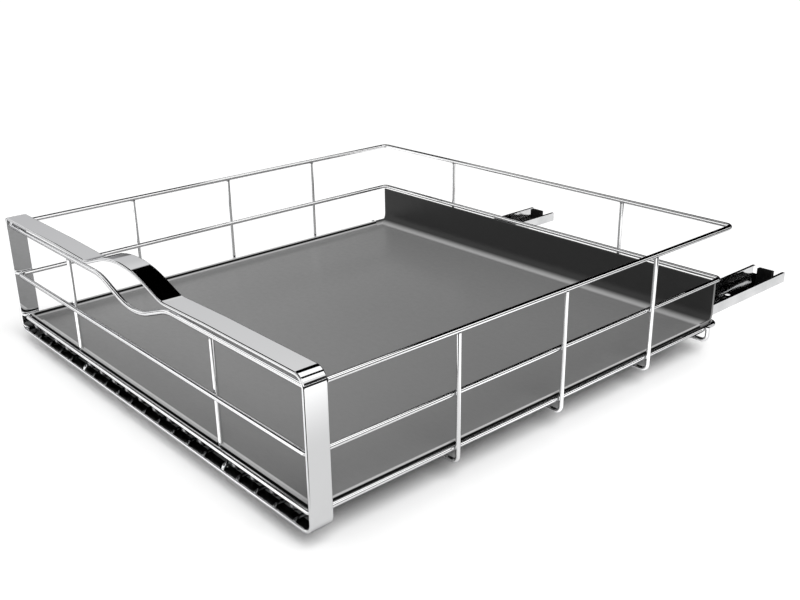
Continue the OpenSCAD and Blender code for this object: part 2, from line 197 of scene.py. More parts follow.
def sweep(path: FlatPath, profile: Profile, plane: Plane, level: float) -> np.ndarray:
    """Carries a section along a path: point(s, t) = path(s) + right(s) * x(t) + normal * y(t).

    Args:
        path: the way along.
        profile: the section, x(t) and y(t).
        plane: plane that the path is drawn in.
        level: place of that plane along its normal.

    Returns:
        Points (rings, sides, 3) in millimetres.
    """
    points, ways = path.trace()
    right = np.stack([ways[:, 1], -ways[:, 0]], 1)
    centre = plane.lift(points, level)
    aside = plane.lift(right)
    up = np.array(plane.value[2], float)
    section = profile.points
    return centre[:, None] + aside[:, None] * section[None, :, 0:1] + up * section[None, :, 1:2]


def grid_quads(rows: int, cols: int, wrap_rows: bool, wrap_cols: bool) -> np.ndarray:
    """Corner numbers of the quads between neighbouring points of a grid.

    Args:
        rows: rows of the grid.
        cols: points in a row.
        wrap_rows: the last row joins the first.
        wrap_cols: the last point of a row joins its first.

    Returns:
        Array (n, 4) of vertex numbers.
    """
    i = np.arange(rows if wrap_rows else rows - 1)
    j = np.arange(cols if wrap_cols else cols - 1)
    a, b = np.meshgrid(i, j, indexing="ij")
    a2, b2 = (a + 1) % rows, (b + 1) % cols
    return np.stack([a * cols + b, a2 * cols + b, a2 * cols + b2, a * cols + b2], -1).reshape(-1, 4)


def volume_sign(points: np.ndarray, quads: np.ndarray) -> float:
    """Signed volume under the quads, which tells whether they face outwards: sum of p0 . (p1 x p2) / 6.

    Args:
        points: points (n, 3).
        quads: corner numbers (m, 4).

    Returns:
        The volume, below zero where the quads face inwards.
    """
    p = points - points.mean(0)
    a, b, c, d = (p[quads[:, k]] for k in range(4))
    halves = np.cross(b, c) + np.cross(c, d)
    return float(np.einsum("ij,ij->", a, halves) / 6)


def swept_mesh(name: str, rings: np.ndarray, closed: bool, crisp: tuple[int, ...] = ()) -> bpy.types.Mesh:
    """Makes a mesh from rings of points, with flat caps on an open sweep.

    Args:
        name: name of the mesh.
        rings: points (rings, sides, 3) in millimetres.
        closed: the last ring joins the first.
        crisp: sides of the section where the shading breaks.

    Returns:
        The mesh in metres, with smooth faces and crisp edges.
    """
    count, sides = rings.shape[:2]
    points = rings.reshape(-1, 3) * MM
    quads = grid_quads(count, sides, closed, True)
    turn = -1 if volume_sign(points, quads) < 0 else 1
    faces = quads[:, ::turn].tolist()
    if not closed:
        first = np.arange(sides)
        last = first + (count - 1) * sides
        faces += [first[::turn].tolist(), last[::-turn].tolist()]
    mesh = bpy.data.meshes.new(name)
    mesh.from_pydata(points.tolist(), [], faces)
    mesh.update()
    mesh.polygons.foreach_set("use_smooth", np.ones(len(mesh.polygons), bool))
    ends = np.zeros(len(mesh.edges) * 2, np.int32)
    mesh.edges.foreach_get("vertices", ends)
    a, b = ends.reshape(-1, 2).T
    sharp = (a % sides == b % sides) & np.isin(a % sides, np.array(crisp, int))
    if not closed:
        ring_a, ring_b = a // sides, b // sides
        sharp |= (ring_a == ring_b) & ((ring_a == 0) | (ring_a == count - 1))
    mesh.edges.foreach_set("use_edge_sharp", sharp)
    return mesh


def eggs(centres: np.ndarray, sizes: np.ndarray, rows: int = 7, cols: int = 12) -> Shell:
    """Small closed eggs: centre + size * (cos u cos v, cos u sin v, sin u), with one point at each pole.

    Args:
        centres: middles (n, 3), in millimetres.
        sizes: half axes (n, 3), in millimetres.
        rows: rings between the poles.
        cols: points on a ring.

    Returns:
        Points in millimetres and faces.
    """
    u = np.linspace(-math.pi / 2, math.pi / 2, rows + 2)[1:-1]
    v = np.arange(cols) * 2 * math.pi / cols
    uu, vv = np.meshgrid(u, v, indexing="ij")
    body = np.stack([np.cos(uu) * np.cos(vv), np.cos(uu) * np.sin(vv), np.sin(uu)], -1).reshape(-1, 3)
    unit = np.concatenate([body, [[0, 0, -1], [0, 0, 1]]])
    points = unit * sizes[:, None] + centres[:, None]
    quads = grid_quads(rows, cols, False, True)[:, ::-1]
    at, after = np.arange(cols), (np.arange(cols) + 1) % cols
    low, last = np.full(cols, rows * cols), (rows - 1) * cols
    fans = np.concatenate([np.stack([low, after, at], 1), np.stack([low + 1, last + at, last + after], 1)])
    start = np.arange(len(centres))[:, None, None] * len(unit)
    faces = (quads + start).reshape(-1, 4).tolist() + (fans + start).reshape(-1, 3).tolist()
    return points.reshape(-1, 3), faces


def add_piece(name: str, mesh: bpy.types.Mesh, material: bpy.types.Material, body: Body,
              nodes: tuple[str, ...] = ()) -> bpy.types.Object:
    """Puts a finished mesh into the scene as a piece of the object.

    Args:
        name: name of the piece.
        mesh: its mesh, in place and in metres.
        material: its finish.
        body: body that it rides on.
        nodes: construction nodes that it stands for.

    Returns:
        The new object.
    """
    piece = bpy.data.objects.new(name, mesh)
    bpy.context.scene.collection.objects.link(piece)
    mesh.materials.clear()
    mesh.materials.append(material)
    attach(piece, body.value)
    if nodes:
        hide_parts(*nodes)
    LOG.info("%s: %d faces", name, len(mesh.polygons))
    return piece


# ---- Finishes ----


@dataclass(frozen=True)
class Grain:
    """A noise: waves per metre, octaves, and how much finer it is along each axis."""

    scale: float
    detail: float = 2.0
    stretch: Triple = (1, 1, 1)


class Graph:
    """Adds value nodes to a node tree."""

    def __init__(self, tree: bpy.types.NodeTree) -> None:
        """Keeps the tree."""
        self.tree = tree

    def feed(self, socket: Socket, value: Union[Value, tuple]) -> None:
        """Links a socket to another one, or sets it to a number or a colour."""
        if isinstance(value, bpy.types.NodeSocket):
            self.tree.links.new(value, socket)
        else:
            socket.default_value = value

    def axes(self, vector: Socket) -> tuple[Socket, Socket, Socket]:
        """The x, y and z of a vector."""
        split = self.tree.nodes.new("ShaderNodeSeparateXYZ")
        self.tree.links.new(vector, split.inputs["Vector"])
        return split.outputs["X"], split.outputs["Y"], split.outputs["Z"]

    def math(self, operation: str, *values: Value) -> Socket:
        """Result of one Math node on one to three values."""
        node = self.tree.nodes.new("ShaderNodeMath")
        node.operation = operation
        for socket, value in zip(node.inputs, values):
            self.feed(socket, value)
        return node.outputs["Value"]

    def times(self, *values: Value) -> Socket:
        """Product of the values."""
        return reduce(lambda a, b: self.math("MULTIPLY", a, b), values)

    def most(self, *values: Value) -> Socket:
        """Largest of the values."""
        return reduce(lambda a, b: self.math("MAXIMUM", a, b), values)

    def step(self, value: Socket, span: Pair) -> Socket:
        """Smooth step up: 0 before the span, 1 after it."""
        node = self.tree.nodes.new("ShaderNodeMapRange")
        node.interpolation_type = "SMOOTHSTEP"
        node.inputs["From Min"].default_value, node.inputs["From Max"].default_value = span
        self.feed(node.inputs["Value"], value)
        return node.outputs["Result"]

    def fall(self, value: Socket, span: Pair) -> Socket:
        """Smooth step down: 1 before the span, 0 after it."""
        return self.math("SUBTRACT", 1.0, self.step(value, span))

    def mix(self, share: Socket, a: Value, b: Value) -> Socket:
        """Blend of a and b: a + share * (b - a)."""
        node = self.tree.nodes.new("ShaderNodeMix")
        for name, value in (("Factor", share), ("A", a), ("B", b)):
            self.feed(node.inputs[name], value)
        return node.outputs["Result"]


class Nodes(Graph):
    """Lays out the nodes of one material, on the piece's own coordinates."""

    noise_middle: Pair = (0.3, 0.7)

    def __init__(self, name: str) -> None:
        """Starts a material with its shader and output."""
        self.material = bpy.data.materials.new(name)
        self.material.use_nodes = True
        super().__init__(self.material.node_tree)
        self.tree.nodes.clear()
        self.shader = self.tree.nodes.new("ShaderNodeBsdfPrincipled")
        output = self.tree.nodes.new("ShaderNodeOutputMaterial")
        self.tree.links.new(self.shader.outputs["BSDF"], output.inputs["Surface"])
        self.place = self.tree.nodes.new("ShaderNodeTexCoord").outputs["Object"]

    def set(self, **values: Union[Value, tuple]) -> None:
        """Sets or links the shader's own sockets, with _ for the blanks in their names."""
        for key, value in values.items():
            self.feed(self.shader.inputs[key.replace("_", " ")], value)

    def noise(self, grain: Grain) -> Socket:
        """Value of a noise in the piece's own space."""
        place = self.tree.nodes.new("ShaderNodeMapping")
        place.inputs["Scale"].default_value = grain.stretch
        self.tree.links.new(self.place, place.inputs["Vector"])
        node = self.tree.nodes.new("ShaderNodeTexNoise")
        node.inputs["Scale"].default_value = grain.scale
        node.inputs["Detail"].default_value = grain.detail
        self.tree.links.new(place.outputs["Vector"], node.inputs["Vector"])
        return node.outputs["Fac"]

    def spread(self, noise: Socket, span: Pair) -> Socket:
        """Maps the middle of a noise's range to a span."""
        node = self.tree.nodes.new("ShaderNodeMapRange")
        node.inputs["From Min"].default_value, node.inputs["From Max"].default_value = self.noise_middle
        node.inputs["To Min"].default_value, node.inputs["To Max"].default_value = span
        self.feed(node.inputs["Value"], noise)
        return node.outputs["Result"]

    def ramp(self, noise: Socket, stops: Pair, colours: tuple[Triple, Triple]) -> Socket:
        """Colours a value, from the first colour at the first stop to the second at the second.

        Args:
            noise: the value.
            stops: places of the two stops.
            colours: their colours.

        Returns:
            The colour.
        """
        node = self.tree.nodes.new("ShaderNodeValToRGB")
        for element, stop, colour in zip(node.color_ramp.elements, stops, colours):
            element.position = stop
            element.color = (*colour, 1)
        self.feed(node.inputs["Fac"], noise)
        return node.outputs["Color"]

    def bump(self, height: Socket, relief: Pair) -> None:
        """Raises the surface; relief is the full height in metres and the strength."""
        node = self.tree.nodes.new("ShaderNodeBump")
        node.inputs["Distance"].default_value, node.inputs["Strength"].default_value = relief
        self.feed(node.inputs["Height"], height)
        self.set(Normal=node.outputs["Normal"])


@dataclass(frozen=True)
class ChromeFinish:
    """Polished chrome plate: bright, with a faint haze and hair-fine polishing marks."""

    name: str = "chrome_plate"
    tint: Triple = (0.96, 0.962, 0.966)
    edge: Triple = (0.12, 0.12, 0.13)
    gloss: Pair = (0.02, 0.05)
    haze: Grain = Grain(60, 3)
    marks: Grain = Grain(900)
    relief: Pair = (0.00002, 0.05)

    def material(self) -> bpy.types.Material:
        """Builds the material: noise drives the roughness and a very low bump.

        Returns:
            The material.
        """
        n = Nodes(self.name)
        n.set(Base_Color=(*self.tint, 1), Metallic=1.0, Specular_Tint=(*self.edge, 1))
        n.set(Roughness=n.spread(n.noise(self.haze), self.gloss))
        n.bump(n.noise(self.marks), self.relief)
        return n.material


@dataclass(frozen=True)
class ZincFinish:
    """Bright zinc plate on rolled steel: soft cloudy spangle and lines along the strip."""

    name: str = "zinc_plate"
    light: Triple = (0.80, 0.802, 0.806)
    dark: Triple = (0.68, 0.685, 0.69)
    gloss: Pair = (0.07, 0.13)
    clouds: Grain = Grain(45, 4)
    cloud_stops: Pair = (0.35, 0.65)
    lines: Grain = Grain(300, 2, (6, 0.15, 6))
    relief: Pair = (0.00003, 0.12)

    def material(self) -> bpy.types.Material:
        """Builds the material: clouds tint the metal, drawn lines roughen it.

        Returns:
            The material.
        """
        n = Nodes(self.name)
        colour = n.ramp(n.noise(self.clouds), self.cloud_stops, (self.dark, self.light))
        lines = n.noise(self.lines)
        n.set(Base_Color=colour, Metallic=1.0, Roughness=n.spread(lines, self.gloss))
        n.bump(lines, self.relief)
        return n.material


@dataclass(frozen=True)
class LinerFinish:
    """Moulded plastic: a grained grey floor, with painted highlights along its edge, in the cove, on the rim
    top and on the back wall's ends, and painted shade on the back wall and the rim's faces.

    The single values are brightnesses. A pair named for an axis or an edge is where a zone gives way to the
    next, in millimetres.
    """

    name: str = "liner_plastic"
    floor: float = 0.2
    # Painted light and shade on one plastic: the floor's edge band, the cove, the rim top, the wall's ends
    # and the left fillet's band are painted highlights; the back wall and the rim's faces are painted shade.
    border_highlight: float = 0.62
    cove: float = 0.42
    wall: float = 0.055
    side: float = 0.008
    rim: float = 0.50
    end: float = 0.30
    left_band_highlight: float = 0.40
    fillet: Pair = (239.0, -354.5)
    border_edge: Pair = (-3.0, -2.2)
    side_edge: Pair = (-0.4, 0.2)
    back_y: Pair = (111.5, 112.5)
    cove_z: Pair = (28.5, 29.6)
    wall_z: Pair = (29.7, 34.5)
    rim_z: Pair = (33.9, 34.1)
    end_x: Pair = (245.5, 245.7)
    left_x: Pair = (-235.4, -234.4)
    left_band_z: Pair = (29.4, 30.6)
    left_dark_z: Pair = (31.0, 31.9)
    sheen: Pair = (0.5, 0.12)
    gloss: Pair = (0.30, 0.38)
    mottle: Pair = (0.97, 1.03)
    streaks: Grain = Grain(900, 3, (0.15, 1.2, 1))
    haze: Grain = Grain(180, 3)
    grain: Grain = Grain(2400, 2, (0.4, 1, 1))
    relief: Pair = (0.00005, 0.2)

    def material(self) -> bpy.types.Material:
        """Builds the material: place picks the zone of painted highlight or painted shade, streaks mottle the
        tone, haze and fine grain roughen the surface.

        Returns:
            The material.
        """
        n = Nodes(self.name)
        x, y, z = (n.math("DIVIDE", axis, MM) for axis in n.axes(n.place))
        across = n.math("ABSOLUTE", x)
        behind, before = n.step(y, self.back_y), n.fall(y, self.back_y)
        inside = n.most(n.math("SUBTRACT", across, self.fillet[0]), n.math("SUBTRACT", self.fillet[1], y))
        left = n.fall(x, self.left_x)
        # Painted highlight: a light band on the floor along the fillet; on the left side a light band up the
        # fillet instead.
        band = n.times(n.step(z, self.left_band_z), n.fall(z, self.left_dark_z), self.left_band_highlight / self.border_highlight)
        border_highlight = n.mix(left, n.step(inside, self.border_edge), band)
        # Painted shade: the fillet and the rim's faces go near black, on the left side above the light band.
        side = n.mix(left, n.step(inside, self.side_edge), n.step(z, self.left_dark_z))
        side = n.times(side, before)
        # Painted shade: the back wall above the cove.
        wall = n.times(behind, n.step(z, self.wall_z))
        # Painted highlights in the cove, on the rim top and on the back wall's ends; painted shade on the
        # wall and the rim's faces.
        zones = (
            (n.times(border_highlight, before), self.border_highlight),
            (n.times(behind, n.step(z, self.cove_z)), self.cove),
            (wall, self.wall),
            (side, self.side),
            (n.times(n.step(z, self.rim_z), before), self.rim),
            (n.times(n.step(across, self.end_x), behind), self.end),
        )
        shade = self.floor
        for zone, tone in zones:
            shade = n.mix(zone, shade, tone)
        shade = n.times(shade, n.spread(n.noise(self.streaks), self.mottle))
        # The painted-shade zones also get less specular.
        n.set(Base_Color=shade, Specular_IOR_Level=n.mix(n.most(side, wall), *self.sheen))
        n.set(Roughness=n.spread(n.noise(self.haze), self.gloss))
        n.bump(n.noise(self.grain), self.relief)
        return n.material


@dataclass(frozen=True)
class RubberFinish:
    """Matt black rubber with a dusty bloom."""

    name: str = "black_rubber"
    dark: Triple = (0.002, 0.002, 0.002)
    light: Triple = (0.006, 0.006, 0.006)
    sheen: float = 0.12
    gloss: Pair = (0.5, 0.68)
    dust: Grain = Grain(250, 4)
    dust_stops: Pair = (0.35, 0.7)
    skin: Grain = Grain(1500)
    relief: Pair = (0.00008, 0.3)

    def material(self) -> bpy.types.Material:
        """Builds the material: dust in the colour, a matt uneven skin.

        Returns:
            The material.
        """
        n = Nodes(self.name)
        dust = n.noise(self.dust)
        n.set(Base_Color=n.ramp(dust, self.dust_stops, (self.dark, self.light)))
        n.set(Specular_IOR_Level=self.sheen, Roughness=n.spread(dust, self.gloss))
        n.bump(n.noise(self.skin), self.relief)
        return n.material


class Finishes:
    """The finishes of the whole object, each built once."""

    def __init__(self) -> None:
        """Builds the materials."""
        self.strap = ChromeFinish("strap_plate", (0.83, 0.833, 0.838), (0.40, 0.40, 0.41)).material()
        self.chrome = ChromeFinish().material()
        self.zinc = ZincFinish().material()
        self.liner = LinerFinish().material()
        self.rubber = RubberFinish().material()
        self.screw = ZincFinish("screw_zinc", (0.62, 0.63, 0.65), (0.46, 0.47, 0.49), (0.2, 0.34)).material()
        self.cage = ZincFinish("cage_strip", (0.66, 0.62, 0.52), (0.52, 0.49, 0.42), (0.22, 0.36)).material()
        self.weld = ChromeFinish("weld_spot", (0.30, 0.30, 0.31), gloss=(0.18, 0.32)).material()
        # A darker copy of the chrome for the floor wires: painted shade under the basket.
        self.low_wire_painted_shade = ChromeFinish("floor_wire_painted_shade", (0.26, 0.262, 0.265), gloss=(0.05, 0.12)).material()
        self.ball = ChromeFinish("ball_steel", (0.80, 0.81, 0.83), gloss=(0.03, 0.06)).material()


# ---- Sub-assemblies ----


@dataclass(frozen=True)
class Layout:
    """Places shared by the sub-assemblies, in millimetres. A z is above the strap's underside, at base."""

    width: float = 508.0
    depth: float = 510.0
    front: float = -369.0
    base: float = 16.0
    strap_w: float = 20.0
    strap_t: float = 3.0
    rail_d: float = 4.5
    rib_d: float = 4.0
    floor_d: float = 3.5
    ring_setback: float = 4.8
    floor_edge: float = 29.0
    floor_places: int = 9
    long_place: int = 5
    top_rail_z: float = 114.5
    handle_wire_z: float = 110.0
    middle_ring_z: float = 61.5
    bottom_ring_z: float = 15.0
    cross_z: float = 3.0
    touch: float = 0.05

    @property
    def ring_x(self) -> float:
        """Half width of the rings."""
        return self.width / 2 - self.strap_t - self.rail_d / 2 - self.touch

    @property
    def rib_x(self) -> float:
        """Half width of the upright cross wires."""
        return self.ring_x + (self.rail_d + self.rib_d) / 2 + self.touch

    @property
    def ring_front(self) -> float:
        """Y of the rings' front run."""
        return self.front + self.ring_setback

    @property
    def upright_front(self) -> float:
        """Y of the handle wire and of the long wires' front uprights."""
        return self.ring_front + (self.rail_d + self.rib_d) / 2 + self.touch

    @property
    def rail_back(self) -> float:
        """Y of the top rail's back run."""
        return self.front + self.depth - self.rail_d / 2

    @property
    def ring_back(self) -> float:
        """Y of the rings' back run."""
        return self.rail_back - (self.rail_d + self.rib_d) / 2 - self.touch

    @property
    def long_z(self) -> float:
        """Height of the long wires under the floor."""
        return self.cross_z + self.rib_d + self.touch

    @property
    def cross_y(self) -> Triple:
        """Y of the three upright cross wires."""
        bay = (self.rail_back - self.front - self.strap_w) / 4
        return tuple(self.front + self.strap_w + k * bay for k in (1, 2, 3))

    @property
    def floor_pitch(self) -> float:
        """Distance between the floor wires."""
        return (self.width / 2 - self.floor_edge) / self.floor_places

    @property
    def long_x(self) -> float:
        """Distance of the long wires from the middle."""
        return self.long_place * self.floor_pitch


@dataclass
class StrapFrame:
    """The flat strap: one closed loop with an arch for the hand, edges broken by a small radius."""

    layout: Layout
    finishes: Finishes
    height: float = 124.0
    bend_r: float = 8.5
    rise: float = 13.98
    dip: float = 1.5
    crown_r: float = 128.5
    slope: float = 19.0
    foot_r: float = 40.0
    fade: float = 65.0
    fade_r: float = 200.0
    edge_r: float = 1.1
    dome: float = 0.06

    def path(self) -> FlatPath:
        """Middle line of the strap: a rectangle whose top line rises over two flanks to a rounded peak.

        Returns:
            The closed path, drawn across.
        """
        slope = math.radians(self.slope)
        half_t = self.layout.strap_t / 2
        side = self.layout.width / 2 - half_t
        low = self.layout.base + half_t
        high = self.layout.base + self.height - half_t
        peak = self.rise + self.crown_r * (1 / math.cos(slope) - 1)
        foot = (peak + self.dip) / math.tan(slope)
        right = [(foot + self.fade, high), (foot, high - self.dip)]
        left = [(-x, z) for x, z in reversed(right)]
        corners = [(-side, low), (side, low), (side, high), *right, (0.0, high + peak), *left, (-side, high)]
        flank = [self.fade_r, self.foot_r]
        radii = [self.bend_r] * 3 + flank + [self.crown_r] + flank[::-1] + [self.bend_r]
        return FlatPath(tuple(corners), tuple(radii), closed=True, step=1.0)

    def build(self) -> None:
        """Sweeps the section round the loop: broken edges and wide faces domed by a hair."""
        t, w, r = self.layout.strap_t / 2, self.layout.strap_w / 2, self.edge_r
        low = t - self.dome
        broad = (w - 2 * r) * w / self.dome
        corners = [(-low, -w), (low, -w), (t, 0.0), (low, w), (-low, w), (-t, 0.0)]
        section = Profile.soft_polygon(corners, [r, r, broad, r, r, broad], step=15.0)
        rings = sweep(self.path(), section, Plane.ACROSS, -(self.layout.front + w))
        mesh = swept_mesh("strap_frame", rings, True, section.crisp)
        add_piece("strap_frame", mesh, self.finishes.strap, Body.BASKET, ("front_frame",))


@dataclass
class WireWork:
    """All the bent wires: rails, rings, uprights and floor wires, with their weld spots."""

    layout: Layout
    finishes: Finishes
    grip_dip: float = 16.5
    grip_slope: float = 20.0
    grip_r: float = 79.0
    grip_foot_r: float = 60.0
    ring_r: float = 6.0
    rail_r: float = 7.0
    cross_r: float = 6.0
    long_r: float = 6.0
    bite: float = 0.3
    hook_end: float = 0.1
    short_setback: float = 27.0
    sides: int = 28
    floor_sides: int = 20
    side_spot: Triple = (0.9, 1.9, 1.5)
    front_spot: Triple = (1.9, 0.9, 1.5)
    rail_spot: Triple = (2.2, 2.3, 0.8)
    long_spot: Triple = (2.3, 2.3, 0.8)
    floor_spot: Triple = (1.9, 1.9, 0.5)
    spot_inset: float = 0.3
    spot_drop: float = 0.6
    floor_spot_drop: float = 0.4
    welds: list[tuple[Triple, Triple]] = field(default_factory=list)

    @property
    def top(self) -> float:
        """Height where the uprights end in the top rail."""
        return self.layout.base + self.layout.top_rail_z - self.layout.rail_d / 2 + self.bite

    def _wire(self, name: str, path: FlatPath, plane: Plane, level: float, d: float) -> None:
        """Sweeps one round wire and puts it in place of its node.

        Args:
            name: the node.
            path: middle line of the wire.
            plane: plane that the path is drawn in.
            level: place of that plane along its normal.
            d: diameter.
        """
        low = name.startswith("floor_wire")
        section = Profile.round_bar(d, self.floor_sides if low else self.sides)
        mesh = swept_mesh(name + "_wire", sweep(path, section, plane, level), path.closed)
        # The floor wires take the darker chrome, which is painted shade.
        finish = self.finishes.low_wire_painted_shade if low else self.finishes.chrome
        add_piece(name + "_wire", mesh, finish, Body.BASKET, (name,))

    def _handle(self) -> None:
        """The wire under the strap: level, then down two flanks to a rounded dip below the arch."""
        g = self.layout
        slope = math.radians(self.grip_slope)
        level = g.base + g.handle_wire_z
        peak = self.grip_dip + self.grip_r * (1 / math.cos(slope) - 1)
        foot = peak / math.tan(slope)
        side = g.width / 2 - g.strap_t
        corners = ((-side, level), (-foot, level), (0.0, level - peak), (foot, level), (side, level))
        path = FlatPath(corners, (0, self.grip_foot_r, self.grip_r, self.grip_foot_r, 0), step=1.5)
        self._wire("handle_wire", path, Plane.ACROSS, -g.upright_front, g.rail_d)

    def _rings(self) -> None:
        """Two closed rings inside the uprights and the open rail along the top."""
        g = self.layout
        x, y0, y1 = g.ring_x, g.ring_front, g.ring_back
        ring = FlatPath(((-x, y0), (x, y0), (x, y1), (-x, y1)), (self.ring_r,) * 4, closed=True)
        self._wire("middle_ring", ring, Plane.LEVEL, g.base + g.middle_ring_z, g.rail_d)
        self._wire("bottom_ring", ring, Plane.LEVEL, g.base + g.bottom_ring_z, g.rail_d)
        x, y0, y1 = g.width / 2 - g.strap_t / 2, g.front + g.strap_w, g.rail_back
        rail = FlatPath(((-x, y0), (-x, y1), (x, y1), (x, y0)), (0, self.rail_r, self.rail_r, 0))
        self._wire("top_rail", rail, Plane.LEVEL, g.base + g.top_rail_z, g.rail_d)

    def _cross_wires(self) -> None:
        """U-shaped wires: up one side, across under the floor and up the other side."""
        g = self.layout
        x, low = g.rib_x, g.base + g.cross_z
        rings = (g.bottom_ring_z, g.middle_ring_z)
        runs = [(name, y, self.top, rings) for name, y in zip(("front", "middle", "rear"), g.cross_y)]
        short_top = g.base + g.bottom_ring_z + g.rail_d / 2
        runs.append(("short", g.front + g.depth - self.short_setback, short_top, rings[:1]))
        for name, y, high, levels in runs:
            path = FlatPath(((-x, high), (-x, low), (x, low), (x, high)), (0, self.cross_r, self.cross_r, 0))
            self._wire("cross_wire_" + name, path, Plane.ACROSS, -y, g.rib_d)
            for side in (-1, 1):
                spot = side * (g.ring_x + g.rail_d / 2)
                self.welds += [((spot, y, g.base + z), self.side_spot) for z in levels]
                if name != "short":
                    place = (side * (x - self.spot_inset), y, high - self.spot_drop)
                    self.welds.append((place, self.rail_spot))

    def _long_wires(self) -> None:
        """Wires that run from the handle wire down the front, back under the floor and up to the rail."""
        g = self.layout
        y0, y1, low = g.upright_front, g.rail_back, g.base + g.long_z
        front_top = g.base + g.handle_wire_z - g.rail_d / 2 + self.bite
        corners = ((y0, front_top), (y0, low), (y1, low), (y1, self.top))
        path = FlatPath(corners, (0, self.long_r, self.long_r, 0))
        for name, side in (("left", -1), ("right", 1)):
            x = side * g.long_x
            self._wire("long_wire_" + name, path, Plane.ALONG, x, g.rib_d)
            for z in (g.bottom_ring_z, g.middle_ring_z):
                for y in (g.ring_front, g.ring_back):
                    self.welds.append(((x, y + g.rail_d / 2, g.base + z), self.front_spot))
            for y, high in ((y0, front_top), (y1, self.top)):
                self.welds.append(((x, y, high - self.spot_drop), self.long_spot))

    def _floor(self) -> None:
        """Thin wires hung from the bottom ring by a quarter bend at each end."""
        g = self.layout
        low = g.base + g.cross_z + (g.rib_d + g.floor_d) / 2 + g.touch
        high = g.base + g.bottom_ring_z - g.rail_d / 2 + self.bite
        r = high - low - self.hook_end
        corners = ((g.ring_front, high), (g.ring_front, low), (g.ring_back, low), (g.ring_back, high))
        path = FlatPath(corners, (0, r, r, 0), step=6)
        places = [k for k in range(-g.floor_places, g.floor_places + 1) if abs(k) != g.long_place]
        for number, k in enumerate(places, 1):
            x = k * g.floor_pitch
            self._wire(f"floor_wire_{number}", path, Plane.ALONG, x, g.floor_d)
            for y in (g.ring_front, g.ring_back):
                self.welds.append(((x, y, high - self.floor_spot_drop), self.floor_spot))

    def _weld_spots(self) -> None:
        """One piece that holds every weld spot, each a flattened egg where two wires meet."""
        centres, sizes = (np.array(column) for column in zip(*self.welds))
        points, faces = eggs(centres, sizes)
        mesh = bpy.data.meshes.new("weld_spots")
        mesh.from_pydata((points * MM).tolist(), [], faces)
        mesh.update()
        mesh.polygons.foreach_set("use_smooth", np.ones(len(mesh.polygons), bool))
        add_piece("weld_spots", mesh, self.finishes.weld, Body.BASKET)

    def build(self) -> None:
        """Builds every wire and the weld spots."""
        self._handle()
        self._rings()
        self._cross_wires()
        self._long_wires()
        self._floor()
        self._weld_spots()


@dataclass
class LinerTray:
    """The moulded liner: a flat floor, a low rim on three sides and a wall at the back."""

    layout: Layout
    finishes: Finishes
    floor_t: float = 3.0
    rim_h: float = 6.8
    rim_t: float = 2.0
    fillet_r: float = 5.0
    edge_r: float = 3.0
    rim_lip_r: float = 0.6
    wall_t: float = 2.2
    wall_lip_r: float = 0.7
    cove_r: float = 14.0
    notch: float = 5.6
    gap: float = 0.4
    back_gap: float = 0.3

    @property
    def side(self) -> float:
        """Half width of the tray."""
        return self.layout.ring_x - self.layout.rail_d / 2 - self.gap

    @property
    def front(self) -> float:
        """Y of the rim's outer face."""
        return self.layout.ring_front + self.layout.rail_d / 2 + self.gap

    @property
    def back(self) -> float:
        """Y of the back wall's outer face."""
        return self.layout.ring_back - self.layout.rail_d / 2 - self.back_gap

    @property
    def low(self) -> float:
        """Height of the underside."""
        return self.layout.base + self.layout.long_z + self.layout.rib_d / 2 + self.layout.touch

    @property
    def floor(self) -> float:
        """Height of the floor's upper face."""
        return self.low + self.floor_t

    @property
    def rim_w(self) -> float:
        """Width of the rim with its fillet."""
        return self.rim_t + self.fillet_r

    def _rim(self) -> None:
        """The rim's section carried round three sides, broken by the two notches for the long wires."""
        top, w, t = self.floor + self.rim_h, self.rim_w, self.rim_t
        corners = [(-w, self.low), (0, self.low), (0, top), (-t, top), (-t, self.floor), (-w, self.floor)]
        radii = [0.0, self.edge_r, self.rim_lip_r, self.rim_lip_r, self.fillet_r, 0.0]
        section = Profile.soft_polygon(corners, radii, step=9.0)
        back = self.back - self.wall_t / 2
        gap_l = self.layout.long_x - self.notch / 2
        gap_h = gap_l + self.notch
        s, f = self.side, self.front
        paths = {
            "left": FlatPath(((-s, back), (-s, f), (-gap_h, f)), (0, w, 0)),
            "front": FlatPath(((-gap_l, f), (gap_l, f)), (0, 0)),
            "right": FlatPath(((gap_h, f), (s, f), (s, back)), (0, w, 0)),
        }
        for name, path in paths.items():
            rings = sweep(path, section, Plane.LEVEL, 0.0)
            mesh = swept_mesh("liner_rim_" + name, rings, False, section.crisp)
            add_piece("liner_rim_" + name, mesh, self.finishes.liner, Body.BASKET)

    def _section(self, start: float) -> Profile:
        """Section of floor, cove and back wall: two parallel lines with a common bend.

        Args:
            start: Y where the section begins.

        Returns:
            The section, as (y, z).
        """
        low, floor, back, inner = self.low, self.floor, self.back, self.back - self.wall_t
        top = self.layout.base + self.layout.middle_ring_z - self.layout.rail_d / 2
        outer_r = self.cove_r + (self.floor_t + self.wall_t) / 2
        corners = [(start, low), (back, low), (back, top), (inner, top), (inner, floor), (start, floor)]
        radii = [0.0, outer_r, self.wall_lip_r, self.wall_lip_r, self.cove_r, 0.0]
        return Profile.soft_polygon(corners, radii, step=6.0)

    def _floor_and_wall(self) -> None:
        """Carries the section straight across, and its cove alone over the width of each side rim."""
        inner = self.side - self.rim_w
        spans = {
            "liner_floor": (-inner, inner, self.front + self.rim_w),
            "liner_wall_left": (-self.side, -inner, self.back - 2 * self.cove_r),
            "liner_wall_right": (inner, self.side, self.back - 2 * self.cove_r),
        }
        for name, (x0, x1, start) in spans.items():
            section = self._section(start)
            rings = np.stack([np.insert(section.points, 0, x, axis=1) for x in (x0, x1)])
            mesh = swept_mesh(name, rings, False, section.crisp)
            nodes = ("liner_tray",) if name == "liner_floor" else ()
            add_piece(name, mesh, self.finishes.liner, Body.BASKET, nodes)

    def build(self) -> None:
        """Builds the tray."""
        self._floor_and_wall()
        self._rim()


